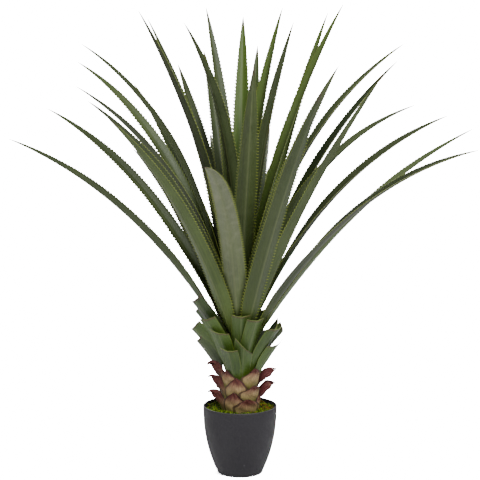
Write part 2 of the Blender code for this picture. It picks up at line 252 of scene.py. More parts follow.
def add(tree, kind, **settings):
    """A new node with its settings."""
    node = tree.nodes.new(kind)
    for key, value in settings.items():
        setattr(node, key, value)
    return node


def feed(tree, value, socket):
    """Links a socket, or sets a number or a colour, on another socket."""
    if isinstance(value, bpy.types.NodeSocket):
        tree.links.new(value, socket)
    else:
        socket.default_value = value


def math_node(tree, operation, *values, clamp=False):
    node = add(tree, "ShaderNodeMath", operation=operation, use_clamp=clamp)
    for value, socket in zip(values, node.inputs):
        feed(tree, value, socket)
    return node.outputs[0]


def times(tree, first, second):
    return math_node(tree, "MULTIPLY", first, second)


def soft_step(tree, value, start, width, invert=False):
    """Rises from 0 to 1 as value goes from start to start + width, or falls from 1 to 0."""
    rise = math_node(tree, "DIVIDE", math_node(tree, "SUBTRACT", value, start), width, clamp=True)
    return math_node(tree, "SUBTRACT", 1.0, rise) if invert else rise


def remap(tree, value, low, high, out_low=0.0, out_high=1.0):
    """Takes low to high and gives out_low to out_high, with soft ends."""
    node = add(tree, "ShaderNodeMapRange", interpolation_type="SMOOTHSTEP")
    tree.links.new(value, node.inputs["Value"])
    for key, number in (("From Min", low), ("From Max", high), ("To Min", out_low), ("To Max", out_high)):
        node.inputs[key].default_value = number
    return node.outputs["Result"]


def blend(tree, share, first, second):
    """Mixes two colours by share. On a colour mix, sockets 0, 6 and 7 are the factor, A and B."""
    node = add(tree, "ShaderNodeMix", data_type="RGBA")
    for value, index in ((share, 0), (first, 6), (second, 7)):
        feed(tree, value, node.inputs[index])
    return node.outputs[2]


def ramp(tree, value, stops):
    """A colour ramp from a list of places and colours."""
    node = add(tree, "ShaderNodeValToRGB")
    tree.links.new(value, node.inputs["Fac"])
    elements = node.color_ramp.elements
    while len(elements) < len(stops):
        elements.new(0.5)
    for element, (place, colour) in zip(elements, stops):
        element.position = place
        element.color = colour
    return node.outputs["Color"]


print("number and colour helpers ready")


# %% Pattern and material helpers
def noise(tree, vector, scale, detail=3.0, roughness=0.55):
    """A noise value of a vector. The scale is per metre on Object coordinates."""
    node = add(tree, "ShaderNodeTexNoise")
    tree.links.new(vector, node.inputs["Vector"])
    node.inputs["Scale"].default_value = scale
    node.inputs["Detail"].default_value = detail
    node.inputs["Roughness"].default_value = roughness
    return node.outputs["Fac"]


def object_place(tree):
    return add(tree, "ShaderNodeTexCoord").outputs["Object"]


def attribute_value(tree, name):
    return add(tree, "ShaderNodeAttribute", attribute_name=name).outputs["Fac"]


def new_material(name):
    material = bpy.data.materials.new(name)
    material.use_nodes = True
    tree = material.node_tree
    return material, tree, tree.nodes["Principled BSDF"]


def add_bump(tree, shader, height, strength, distance):
    """Fine relief from a height value. The distance is in metres."""
    bump = add(tree, "ShaderNodeBump")
    bump.inputs["Strength"].default_value = strength
    bump.inputs["Distance"].default_value = distance
    tree.links.new(height, bump.inputs["Height"])
    tree.links.new(bump.outputs["Normal"], shader.inputs["Normal"])


def node_group(name, inputs, outputs):
    """A shader node group with named number inputs and named outputs."""
    group = bpy.data.node_groups.new(name, "ShaderNodeTree")
    for label, value in inputs:
        socket = group.interface.new_socket(label, in_out="INPUT", socket_type="NodeSocketFloat")
        socket.default_value = value
    for label, kind in outputs:
        group.interface.new_socket(label, in_out="OUTPUT", socket_type=kind)
    return group, group.nodes.new("NodeGroupInput"), group.nodes.new("NodeGroupOutput")


def use_group(tree, group, **values):
    """Places a group in a material with its own values."""
    node = add(tree, "ShaderNodeGroup", node_tree=group)
    for label, value in values.items():
        node.inputs[label].default_value = value
    return node


print("pattern and material helpers ready")

# %% [markdown]
# ## Streaks and zones
#
# A leaf's veins run its whole length, so its colour and its bump are stretched along it. The piece's
# own UV map says where a point is: U runs from the base to the tip, and V across. One group makes the
# streaks, a second gives masks for the margin, the keel, the base and the tip, and a third makes the
# pale bloom that lies in patches. Blades, cut bases and husks all use them with their own values.

# %% Group: lengthwise streaks
FLOAT = "NodeSocketFloat"
SEED_SPREAD = 37.0  # how far apart two pieces lie in the noise


def uv_parts(tree):
    """The UV point, and its two parts: along and across the piece."""
    uv = add(tree, "ShaderNodeUVMap").outputs["UV"]
    split = add(tree, "ShaderNodeSeparateXYZ")
    tree.links.new(uv, split.inputs[0])
    return uv, split.outputs["X"], split.outputs["Y"]


streaks, streaks_in, streaks_out = node_group(
    "lengthwise_streaks",
    [("Along", 3.0), ("Across", 40.0)],
    [("Streak", FLOAT), ("Fine", FLOAT)],
)
_, along, across = uv_parts(streaks)
joined = add(streaks, "ShaderNodeCombineXYZ")
feed(streaks, times(streaks, along, streaks_in.outputs["Along"]), joined.inputs["X"])
feed(streaks, times(streaks, across, streaks_in.outputs["Across"]), joined.inputs["Y"])
feed(streaks, times(streaks, attribute_value(streaks, "own_seed"), SEED_SPREAD), joined.inputs["Z"])
feed(streaks, noise(streaks, joined.outputs[0], 1.0, 3.0, 0.6), streaks_out.inputs["Streak"])
feed(streaks, noise(streaks, joined.outputs[0], 3.1, 4.0, 0.7), streaks_out.inputs["Fine"])
print("group:", streaks.name)

# %% Group: leaf zones
MARGIN_BLUR = 0.06
TIP_BLUR = 0.05
BASE_WANDER = 0.08  # how far the edge of the fresh foot wanders
BASE_WANDER_SCALE = 9.0

zones, zones_in, zones_out = node_group(
    "leaf_zones",
    [("Margin", 0.88), ("Keel", 0.10), ("Tip", 0.94), ("Base", 0.20)],
    [("Margin", FLOAT), ("Keel", FLOAT), ("Tip", FLOAT), ("Base", FLOAT), ("Along", FLOAT)],
)
uv, along, across = uv_parts(zones)
from_keel = math_node(zones, "ABSOLUTE", math_node(zones, "MULTIPLY_ADD", across, 2.0, -1.0))
uneven = math_node(zones, "SUBTRACT", noise(zones, uv, BASE_WANDER_SCALE), 0.5)
wandering = math_node(zones, "ADD", along, times(zones, uneven, BASE_WANDER))
margin = soft_step(zones, from_keel, zones_in.outputs["Margin"], MARGIN_BLUR)
keel = soft_step(zones, from_keel, 0.0, zones_in.outputs["Keel"], invert=True)
tip = soft_step(zones, along, zones_in.outputs["Tip"], TIP_BLUR)
foot = soft_step(zones, wandering, 0.0, zones_in.outputs["Base"], invert=True)
for label, value in (("Margin", margin), ("Keel", keel), ("Tip", tip), ("Base", foot), ("Along", along)):
    feed(zones, value, zones_out.inputs[label])
print("group:", zones.name)

# %% Group: pale bloom
BLOOM_BLUR = 0.22

bloom, bloom_in, bloom_out = node_group("pale_bloom", [("Size", 14.0), ("Cover", 0.5)], [("Bloom", FLOAT)])
patches = noise(bloom, object_place(bloom), 1.0, 5.0, 0.65)
feed(bloom, bloom_in.outputs["Size"], patches.node.inputs["Scale"])
bare = math_node(bloom, "SUBTRACT", 1.0, bloom_in.outputs["Cover"])
feed(bloom, soft_step(bloom, patches, bare, BLOOM_BLUR), bloom_out.inputs["Bloom"])
print("group:", bloom.name)

# %% [markdown]
# ## Leaf finish
#
# A leaf is a satin grey-green with fine lengthwise streaks, a pale keel, yellow-green margins and a
# dry brown tip. It is fresher and yellower at its foot, and its grey dust grows towards the tip. The
# upper side is darker than the back. Attributes on each piece, own_seed, own_tint, own_shade and
# own_dust, move its streaks, make it fresher or dustier, and darken it with painted shade, so that no
# two look the same.

# %% Leaf colours
FRESH_STREAK = paint(82, 104, 24)
# painted shade colour, mixed in by own_shade
DEEP_SHADE = paint(18, 28, 5)
DUST = paint(112, 117, 88)
FRESH_FOOT = paint(84, 102, 28)
PALE_KEEL = paint(116, 123, 84)
LEAF_RIM = paint(126, 140, 44)
DRY_TIP = paint(74, 46, 34)
FOOT_SHARE = 0.45
KEEL_SHARE = 0.32


def leaf_material(name, dark, light, fresh, roughness, rim_share):
    material, tree, shader = new_material(name)
    streak = use_group(tree, streaks, Along=2.2, Across=34.0)
    zone = use_group(tree, zones, Margin=0.90, Keel=0.09, Tip=0.955, Base=0.24)
    haze = use_group(tree, bloom, Size=34.0, Cover=0.55)
    # streaks and large clouds share the step from the dark to the light green
    cloud = noise(tree, object_place(tree), 9.0, 2.0, 0.5)
    uneven = math_node(tree, "ADD", times(tree, streak.outputs["Streak"], 0.55), times(tree, cloud, 0.45))
    body = blend(tree, remap(tree, uneven, 0.34, 0.66), dark, light)
    young = blend(tree, streak.outputs["Fine"], fresh, FRESH_STREAK)
    body = blend(tree, attribute_value(tree, "own_tint"), body, young)
    # painted shade: own_shade darkens the whole piece towards DEEP_SHADE
    body = blend(tree, attribute_value(tree, "own_shade"), body, DEEP_SHADE)
    # dust is thin at the foot, and patchy
    patchy = remap(tree, haze.outputs["Bloom"], 0.0, 1.0, 0.65, 1.0)
    higher = remap(tree, zone.outputs["Along"], 0.05, 0.6, 0.35, 1.0)
    dust = times(tree, attribute_value(tree, "own_dust"), higher)
    body = blend(tree, times(tree, dust, patchy), body, DUST)
    body = blend(tree, times(tree, zone.outputs["Base"], FOOT_SHARE), body, FRESH_FOOT)
    body = blend(tree, times(tree, zone.outputs["Keel"], KEEL_SHARE), body, PALE_KEEL)
    body = blend(tree, times(tree, zone.outputs["Margin"], rim_share), body, LEAF_RIM)
    body = blend(tree, zone.outputs["Tip"], body, DRY_TIP)
    tree.links.new(body, shader.inputs["Base Color"])
    rough = remap(tree, streak.outputs["Fine"], 0.2, 0.8, roughness - 0.08, roughness + 0.10)
    tree.links.new(rough, shader.inputs["Roughness"])
    shader.inputs["Specular IOR Level"].default_value = 0.42
    add_bump(tree, shader, streak.outputs["Fine"], 0.55, 0.0006)
    return material


print("leaf colours ready")

# %% Leaf materials
leaf_top = leaf_material("leaf_upper_side", paint(28, 41, 11), paint(60, 76, 31), paint(46, 72, 4), 0.46, 0.8)
leaf_back = leaf_material("leaf_back", paint(43, 56, 20), paint(78, 92, 42), paint(60, 86, 10), 0.50, 0.8)

leaf_edge, tree, shader = new_material("leaf_margin")
streak = use_group(tree, streaks, Along=60.0, Across=3.0)
zone = use_group(tree, zones, Tip=0.95)
body = blend(tree, streak.outputs["Streak"], paint(100, 116, 36), paint(156, 166, 82))
tree.links.new(blend(tree, zone.outputs["Tip"], body, paint(78, 48, 34)), shader.inputs["Base Color"])
tree.links.new(remap(tree, streak.outputs["Fine"], 0.2, 0.8, 0.42, 0.62), shader.inputs["Roughness"])
add_bump(tree, shader, streak.outputs["Fine"], 0.4, 0.0003)
print("leaf materials:", leaf_top.name, leaf_back.name, leaf_edge.name)

# %% [markdown]
# ## How a leaf is laid out
#
# Each leaf leaves the trunk at a height that follows from its lean, arches outwards and ends at a
# known reach and height, as in the CAD model's own table. The line is one Bezier curve with two points,
# which is also what a person would draw.

# %% Sizes that the layout follows
POT_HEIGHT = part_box("pot")[1][2]
POT_RIM_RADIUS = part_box("pot")[1][0]
MOSS_TOP_BELOW_RIM = 0.010
MOSS_TOP = POT_HEIGHT - MOSS_TOP_BELOW_RIM
TRUNK_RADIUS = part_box("trunk")[1][0]
TRUNK_TIP_RADIUS = 0.005
TRUNK_SHOULDER = 0.077
TRUNK_TOP = 0.272
TRUNK_TAPER_POWER = 0.85
BASE_STANDOFF = 0.0034
ARCH_ARM = 0.36
LEAF_WIDTH = 0.050
LEAF_TIP_WIDTH = 0.0016
LEAF_CHANNEL = 0.54
LEAF_LOW_BASE = 0.154
LEAF_HIGH_BASE = 0.260
LEAF_STEEPEST = 2.0
LEAF_FLATTEST = 34.0
LEAF_BASE_HALF = 0.0044
LEAF_BASE_PER_RADIUS = 0.33
print("moss at", round(MOSS_TOP, 4), "trunk radius", round(TRUNK_RADIUS, 4))

# %% Table of leaves
# azimuth, lean at the base, reach and height of the tip, droop of the tip, twist, share of LEAF_WIDTH
LEAVES = (
    (172, 31.0, 0.558, 0.690, 1.2, 24, 0.98),
    (156, 27.0, 0.518, 0.760, 1.3, 22, 1.00),
    (235, 27.5, 0.463, 0.767, 1.3, -8, 1.02),
    (201, 16.0, 0.378, 0.832, 1.4, -26, 1.00),
    (219, 20.5, 0.408, 0.802, 1.3, -14, 1.04),
    (150, 18.5, 0.458, 0.884, 1.5, 22, 1.00),
    (176, 13.0, 0.356, 0.932, 1.7, 22, 0.98),
    (131, 24.5, 0.398, 0.822, 1.4, 14, 0.94),
    (204, 8.0, 0.226, 1.012, 1.0, -18, 0.98),
    (146, 10.2, 0.248, 0.997, 0.9, 12, 1.06),
    (230, 1.0, 0.163, 0.982, 1.6, -8, 1.00),
    (114, 20.9, 0.378, 0.877, 1.2, 6, 0.94),
    (107, 15.8, 0.298, 0.914, 1.2, 0, 0.94),
    (125, 5.4, 0.110, 1.026, 1.0, 14, 1.06),
    (263, 24.0, 0.558, 0.677, 1.2, 0, 1.06),
    (88, 12.4, 0.168, 1.004, 0.8, 0, 1.06),
    (82, 18.6, 0.308, 0.927, 1.0, 0, 0.94),
    (276, 14.6, 0.268, 0.882, 1.0, -6, 1.02),
    (49, 2.5, 0.123, 1.024, 1.0, -10, 1.02),
    (312, 6.0, 0.148, 0.984, 1.0, 10, 0.98),
    (38, 14.4, 0.248, 1.012, 0.8, -16, 0.98),
    (13, 8.8, 0.226, 1.032, 1.0, -22, 1.06),
    (301, 20.5, 0.388, 0.884, 1.0, 8, 1.04),
    (292, 28.6, 0.438, 0.827, 1.2, 0, 1.00),
    (350, 11.8, 0.363, 0.932, 1.4, 22, 1.00),
    (318, 25.5, 0.398, 0.862, 1.1, 14, 1.04),
    (14, 17.9, 0.373, 0.888, 1.2, -20, 0.96),
    (332, 16.4, 0.423, 0.790, 1.4, 16, 1.02),
    (353, 23.0, 0.473, 0.757, 1.3, 22, 1.00),
    (5, 32.5, 0.553, 0.717, 1.2, -20, 0.98),
    (341, 30.0, 0.558, 0.682, 1.4, 18, 1.00),
    (80, 26.5, 0.458, 0.694, 1.3, 0, 0.96),
    (99, 29.5, 0.508, 0.672, 1.3, 6, 1.00),
    (124, 34.0, 0.498, 0.637, 1.3, 10, 0.98),
    (77, 32.0, 0.458, 0.632, 1.3, -8, 1.00),
)
print("leaves in the table:", len(LEAVES))


# %% Lines of the leaves
def trunk_radius(height):
    """The trunk is straight up to its shoulder and then runs in to a blunt tip."""
    above = height - MOSS_TOP
    if above <= TRUNK_SHOULDER:
        return TRUNK_RADIUS
    share = (above - TRUNK_SHOULDER) / (TRUNK_TOP - TRUNK_SHOULDER)
    return TRUNK_TIP_RADIUS + (TRUNK_RADIUS - TRUNK_TIP_RADIUS) * (1.0 - share**TRUNK_TAPER_POWER)


def arching_line(azimuth, start, end, base_lean, droop):
    """The four control points of a centreline from start to end, both (radius, height)."""
    out = Vector((math.cos(math.radians(azimuth)), math.sin(math.radians(azimuth)), 0.0))
    up = Vector((0.0, 0.0, 1.0))
    run = end[0] - start[0]
    rise = end[1] - start[1]
    mean_lean = math.atan2(run, rise)
    first = math.radians(base_lean)
    last = mean_lean + (mean_lean - first) * droop
    arm = math.hypot(run, rise) * ARCH_ARM
    a = out * start[0] + up * start[1]
    d = out * end[0] + up * end[1]
    b = a + (out * math.sin(first) + up * math.cos(first)) * arm
    c = d - (out * math.sin(last) + up * math.cos(last)) * arm
    return (a, b, c, d)


def leaf_base_height(base_lean):
    """The flatter a leaf lies, the lower on the trunk it starts."""
    share = (base_lean - LEAF_STEEPEST) / (LEAF_FLATTEST - LEAF_STEEPEST)
    return LEAF_HIGH_BASE - (LEAF_HIGH_BASE - LEAF_LOW_BASE) * share


def blade_start(base):
    height = MOSS_TOP + base
    return (trunk_radius(height) + BASE_STANDOFF, height)


def blade_end(reach, height):
    return (TRUNK_RADIUS + reach, MOSS_TOP + height)


print("base of the steepest leaf:", leaf_base_height(LEAF_STEEPEST))

# %% [markdown]
# ## Bending along a line
#
# A blade is easiest to model flat. The Curve modifier then bends it along its line, with its face
# kept upwards by the curve's Z-up twist. Stretch fits the blade to the whole line.


# %% Bend a flat piece along a line
LINE_STEPS = 48


def bend_along(piece, line):
    curve = bpy.data.curves.new("line", "CURVE")
    curve.dimensions = "3D"
    curve.resolution_u = LINE_STEPS
    curve.twist_mode = "Z_UP"
    curve.use_stretch = True
    curve.use_deform_bounds = True
    spline = curve.splines.new("BEZIER")
    spline.bezier_points.add(1)
    a, b, c, d = line
    first, last = spline.bezier_points
    for point, place, left, right in ((first, a, a + (a - b), b), (last, d, c, d + (d - c))):
        point.handle_left_type = "FREE"
        point.handle_right_type = "FREE"
        point.co = place
        point.handle_left = left
        point.handle_right = right
    guide = bpy.data.objects.new("line", curve)
    bpy.context.scene.collection.objects.link(guide)
    modifier = piece.modifiers.new("bend", "CURVE")
    modifier.object = guide
    modifier.deform_axis = "POS_X"
    apply(piece, modifier)
    bpy.data.objects.remove(guide)


def line_length(line, steps=60):
    a, b, c, d = line
    points = []
    for i in range(steps + 1):
        s = i / steps
        r = 1.0 - s
        points.append(a * r**3 + b * (3.0 * r * r * s) + c * (3.0 * r * s * s) + d * s**3)
    return sum((q - p).length for p, q in zip(points, points[1:]))


print("bending ready")

# %% [markdown]
# ## The toothed blade
#
# An agave's margin is set with small teeth that point towards the tip. One flat strip is modelled with
# its teeth: a grid, in which the outermost vertex of every third row is pulled outwards and forwards.
# The strip is two units wide and one long. Every leaf is a copy of it. Cut bases and husks start from
# the same kind of strip without teeth.


# %% Blanks
TEETH = 86
ROWS_PER_TOOTH = 3
BLADE_COLUMNS = 8
TOOTH_MARK = 0.25  # how far a tooth's point is pulled out in the blank
TOOTH_FORWARD = 0.9  # how far it is pulled towards the tip, in rows


def flat_strip(name, rows, columns):
    """A flat grid from x = 0 to 1 and y = -1 to 1, face up."""
    bpy.ops.object.select_all(action="DESELECT")
    bpy.ops.mesh.primitive_grid_add(x_subdivisions=rows, y_subdivisions=columns, size=1.0)
    strip = bpy.context.active_object
    strip.name = name
    bpy.ops.object.mode_set(mode="EDIT")
    bpy.ops.mesh.select_all(action="SELECT")
    bpy.ops.transform.translate(value=(0.5, 0.0, 0.0))
    bpy.ops.transform.resize(value=(1.0, 2.0, 1.0), center_override=(0.0, 0.0, 0.0))
    object_mode()
    return strip


blade_blank = flat_strip("blade_blank", TEETH * ROWS_PER_TOOTH, BLADE_COLUMNS)
row_length = 1.0 / (TEETH * ROWS_PER_TOOTH)
for side in (-1.0, 1.0):
    picked = pick(
        blade_blank,
        lambda co: co.y * side > 0.99 and round(co.x / row_length) % ROWS_PER_TOOTH == 1,
    )
    bpy.ops.transform.translate(value=(row_length * TOOTH_FORWARD, side * TOOTH_MARK, 0.0))
    object_mode()
print("blade blank:", len(blade_blank.data.polygons), "faces,", picked, "teeth a side")

# %% [markdown]
# ## Shaping a blade
#
# Before it is bent, the strip gets its outline, its channel and its body. The outline widens over the
# first fifth, keeps its width to about the middle and runs out to a long point. The channel folds the
# two halves up from the keel, and the twist turns the blade about its keel. Solidify gives it a body
# that is thickest at the keel, with its own materials for the back and the rim. A little sway keeps it
# from looking ruled. In the code, s runs along the blade from 0 to 1, and t across it from -1 to 1.

# %% Outline of a blade
BLADE_WIDENS_OVER = 0.20


def blade_half_width(s, full, base_half):
    half = base_half + (full / 2.0 - base_half) * smoothstep(s / BLADE_WIDENS_OVER)
    return max(LEAF_TIP_WIDTH / 2.0, half * (1.0 - s**3) ** 0.8)


def turned(across, rise, twist):
    """Turns a point of the cross-section about the keel."""
    turn = math.radians(twist)
    cos, sin = math.cos(turn), math.sin(turn)
    return across * cos - rise * sin, across * sin + rise * cos


print("half width at the middle of a blade:", round(blade_half_width(0.5, LEAF_WIDTH, LEAF_BASE_HALF), 4))

# %% Shape one blade
BLADE_THICKNESS = 0.0032
RIM_CROWDING = 1.7  # moves the inner columns towards the rim, where the teeth are
TOOTH_HEIGHT = 0.0052
TOOTH_GROWS_OVER = 0.08
TOOTH_FADES_OVER = 0.30
TWIST_OVER = 0.6
SWAY = 0.0030
RIM_WAVE = 0.03  # share of the half width


def shape_blade(piece, length, full, base_half, twist, twist_start, dice):
    sway_turn = dice.uniform(0.0, math.tau)
    wave_turn = dice.uniform(0.0, math.tau)
    body = piece.vertex_groups.new(name="body")
    for vertex in piece.data.vertices:
        s, y = vertex.co.x, vertex.co.y
        t = max(-1.0, min(1.0, y))
        t = math.copysign(1.0 - (1.0 - abs(t)) ** RIM_CROWDING, t)
        tooth = max(0.0, abs(y) - 1.0) / TOOTH_MARK
        half = blade_half_width(s, full, base_half)
        grown = smoothstep(s / TOOTH_GROWS_OVER) * smoothstep((0.99 - s) / TOOTH_FADES_OVER)
        across = half * t + math.copysign(tooth * TOOTH_HEIGHT * grown, t)
        wave = RIM_WAVE * math.sin(s * 17.0 + wave_turn + t) * t * t
        rise = half * (LEAF_CHANNEL * abs(t) ** 1.2 + wave)
        across, rise = turned(across, rise, twist * smoothstep((s - twist_start) / TWIST_OVER))
        across += SWAY * math.sin(s * 5.2 + sway_turn) * s * (1.0 - s * 0.6)
        vertex.co = (s * length, across, rise)
        body.add([vertex.index], (1.0 - 0.62 * abs(t) ** 1.5) * (1.0 - 0.55 * s), "REPLACE")


print("blades are", BLADE_THICKNESS * 1000.0, "mm thick at the keel")


# %% Give a piece its body
def give_body(piece, thickness, materials, smooth_angle=50.0):
    """A closed body with its own materials for the face, the back and the rim."""
    for material in materials:
        piece.data.materials.append(material)
    solidify = piece.modifiers.new("body", "SOLIDIFY")
    solidify.thickness = thickness
    solidify.offset = 0.0
    solidify.vertex_group = "body"
    solidify.material_offset = 1
    solidify.material_offset_rim = 2
    apply(piece, solidify)
    piece.vertex_groups.clear()
    only(piece)
    bpy.ops.object.shade_smooth_by_angle(angle=math.radians(smooth_angle))


def finish_piece(piece, slot, *nodes):
    """Makes the piece move with the plant and hides the CAD nodes that it stands for. The slot is not used.
    """
    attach(piece, "root")
    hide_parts(*nodes)


print("bodies ready")

# %% [markdown]
# ## The leaves
#
# Each leaf is a copy of the blank, shaped, given its body and bent along its own line. It stands for
# the CAD blade of the same number. A few leaves are young, fresh and evenly lit, and the one that hangs
# over in front is the palest. Eleven blades are twisted otherwise than in the CAD model, so that more
# of a face shows from the front, and all are folded a little deeper.

# %% Leaves
PALE_LEAF = 15
PALE_DUST = 0.9
FRESH_LEAVES = (16, 19, 21, 22)
FRESH_TINT = 0.95
FRONT_TWIST = {1: 34, 2: -12, 4: 4, 5: 4, 6: -10, 9: 2, 21: -2, 22: 14, 27: 8, 28: -8, 30: -28}
LOW_BLADES = (1, 2)  # these turn from the foot on
LOW_TWIST_START = -0.1
TWIST_START = 0.15

for number, leaf in enumerate(LEAVES, start=1):
    azimuth, base_lean, reach, height, droop, twist, width_share = leaf
    dice = random.Random(100 + number)
    start = blade_start(leaf_base_height(base_lean))
    line = arching_line(azimuth, start, blade_end(reach, height), base_lean, droop)
    blade = own_copy(blade_blank, f"blade_{number:02d}")
    base_half = LEAF_BASE_HALF + LEAF_BASE_PER_RADIUS * trunk_radius(start[1])
    twist_start = LOW_TWIST_START if number in LOW_BLADES else TWIST_START
    twist = FRONT_TWIST.get(number, twist)
    shape_blade(blade, line_length(line), LEAF_WIDTH * width_share, base_half, twist, twist_start, dice)
    give_body(blade, BLADE_THICKNESS, (leaf_top, leaf_back, leaf_edge))
    bend_along(blade, line)
    number_attribute(blade, "own_seed", dice.random())
    number_attribute(blade, "own_tint", FRESH_TINT if number in FRESH_LEAVES else dice.uniform(0.0, 0.45))
    number_attribute(blade, "own_dust", PALE_DUST if number == PALE_LEAF else dice.uniform(0.0, 0.25))
    evenly_lit = number == PALE_LEAF or number in FRESH_LEAVES
    # painted shade, by chance, on the blades that are not evenly lit
    number_attribute(blade, "own_shade", 0.0 if evenly_lit else dice.uniform(0.0, 0.7))
    finish_piece(blade, "leaf", f"leaf_{number:02d}")
bpy.data.objects.remove(blade_blank)
print("blades made:", len(LEAVES))

# %% [markdown]
# ## Cut bases: finish
#
# Where old leaves were trimmed, a short green channel is left. Its outside is a fresh satin green with
# pale streaks, its inside is darker, and the cut itself is dull, dry and a little paler.

# %% Cut base materials
base_inside = leaf_material(
    "cut_base_inside", paint(20, 34, 4), paint(42, 60, 12), paint(48, 72, 6), 0.55, 0.3
)
base_outside = leaf_material(
    "cut_base_outside", paint(28, 50, 6), paint(74, 98, 32), paint(50, 82, 8), 0.40, 0.2
)
cut_edge, tree, shader = new_material("cut_edge")
streak = use_group(tree, streaks, Along=90.0, Across=70.0)
body = blend(tree, streak.outputs["Fine"], paint(70, 86, 30), paint(112, 126, 64))
tree.links.new(body, shader.inputs["Base Color"])
tree.links.new(remap(tree, streak.outputs["Fine"], 0.2, 0.8, 0.55, 0.8), shader.inputs["Roughness"])
add_bump(tree, shader, streak.outputs["Fine"], 0.5, 0.0004)
print("cut base materials ready")

# %% [markdown]
# ## Cut bases: shape
#
# A cut base is a short wide channel. Its width grows from the foot, it may be cut at a slant, and the
# ones at the sides turn towards the front. The table is the CAD model's own. The bases are a little
# wider here and turn half as much again, so that they press together as the real ones do.

# %% Table of cut bases
# name, azimuth, base height, reach and height of the cut end, slant of the cut, twist
STUBS = (
    ("left_top", 196, 0.144, 0.080, 0.294, -0.10, 24),
    ("left_upper", 171, 0.131, 0.076, 0.256, -0.10, 24),
    ("left_lower", 186, 0.107, 0.080, 0.220, -0.10, 30),
    ("left_bottom", 180, 0.083, 0.068, 0.184, -0.10, 28),
    ("front_left_top", 213, 0.120, 0.062, 0.246, 0.05, 20),
    ("front_left_lower", 230, 0.099, 0.049, 0.220, 0.30, 12),
    ("front_bottom", 249, 0.082, 0.044, 0.170, 0.10, 0),
    ("front_point", 278, 0.091, 0.045, 0.198, 0.90, 0),
    ("front_top", 272, 0.133, 0.038, 0.256, 0.00, 0),
    ("front_right_top", 298, 0.121, 0.048, 0.246, 0.00, 0),
    ("front_right_lower", 330, 0.103, 0.068, 0.222, -0.15, -10),
    ("right_front", 348, 0.118, 0.064, 0.230, -0.55, 10),
    ("right_curled", 42, 0.141, 0.053, 0.256, 0.30, 0),
    ("right_lower", 14, 0.107, 0.080, 0.210, -0.30, 8),
    ("right_bottom", 344, 0.080, 0.066, 0.186, -0.50, -14),
    ("back_right", 58, 0.090, 0.064, 0.188, 0.00, 0),
    ("back", 92, 0.106, 0.064, 0.218, 0.10, 0),
    ("back_left", 130, 0.090, 0.066, 0.192, -0.10, 0),
)
print("cut bases in the table:", len(STUBS))

# %% Cut bases
STUB_WIDTH = 0.047
STUB_CHANNEL = 0.36
STUB_CREASE = 0.015  # share of the half width
STUB_BOW = 16.0
STUB_TURN = 1.5  # times the twist in the table
STUB_TURNS_OVER = 0.5
STUB_CUT_SHARE = 0.25
STUB_CUT_WAVE = 0.003  # share of the length
STUB_FOOT_SHARE = 0.80
STUB_GROWS_OVER = 0.50
STUB_BODY = 0.0026
STUB_ROWS = 30
STUB_COLUMNS = 12

stub_blank = flat_strip("stub_blank", STUB_ROWS, STUB_COLUMNS)
for number, (name, azimuth, base, reach, height, slant, twist) in enumerate(STUBS):
    dice = random.Random(300 + number)
    start = blade_start(base)
    end = blade_end(reach, height)
    mean_lean = math.degrees(math.atan2(end[0] - start[0], end[1] - start[1]))
    line = arching_line(azimuth, start, end, mean_lean - STUB_BOW / 2.0, 1.0)
    length = line_length(line)
    stub = own_copy(stub_blank, f"cut_base_{name}")
    body = stub.vertex_groups.new(name="body")
    wave_turn = dice.uniform(0.0, math.tau)
    for vertex in stub.data.vertices:
        t = vertex.co.y
        cut = abs(slant) * STUB_CUT_SHARE * (1.0 + math.copysign(1.0, slant) * t)
        cut += STUB_CUT_WAVE * math.sin(t * 9.0 + wave_turn)
        s = vertex.co.x * (1.0 - cut)
        grown = STUB_FOOT_SHARE + (1.0 - STUB_FOOT_SHARE) * smoothstep(s / STUB_GROWS_OVER)
        half = STUB_WIDTH / 2.0 * grown
        crease = STUB_CREASE * math.sin(t * 12.0 + wave_turn * 2.0)
        rise = half * (STUB_CHANNEL * abs(t) ** 1.7 + crease)
        across, rise = turned(half * t, rise, STUB_TURN * twist * smoothstep(s / STUB_TURNS_OVER))
        vertex.co = (s * length, across, rise)
        body.add([vertex.index], 1.0 - 0.55 * abs(t) ** 2.0, "REPLACE")
    give_body(stub, STUB_BODY, (base_inside, base_outside, cut_edge), 40.0)
    bend_along(stub, line)
    number_attribute(stub, "own_seed", dice.random())
    number_attribute(stub, "own_tint", dice.uniform(0.0, 0.6))
    number_attribute(stub, "own_dust", dice.uniform(0.0, 0.15))
    # painted shade on the cut bases, by chance
    number_attribute(stub, "own_shade", dice.uniform(0.0, 0.45))
    finish_piece(stub, "leaf_base", f"leaf_base_{name}")
bpy.data.objects.remove(stub_blank)
print("cut bases made:", len(STUBS))

# %% [markdown]
# ## Husks: finish
#
# A husk is what is left of a leaf that dried up. It is green-brown at its foot, tan in the middle and
# wine red towards the tip, with dark rims and fine fibres that run up it. The inside is wine red. The
# attribute own_red brings the red further down, on the husks that curl out to the sides.

# %% Husk materials
FIBRE = paint(60, 36, 28)
FIBRE_SHARE = 0.45
SPECK = paint(176, 150, 112)
SPECK_SHARE = 0.30
HUSK_RIM_SHARE = 0.75


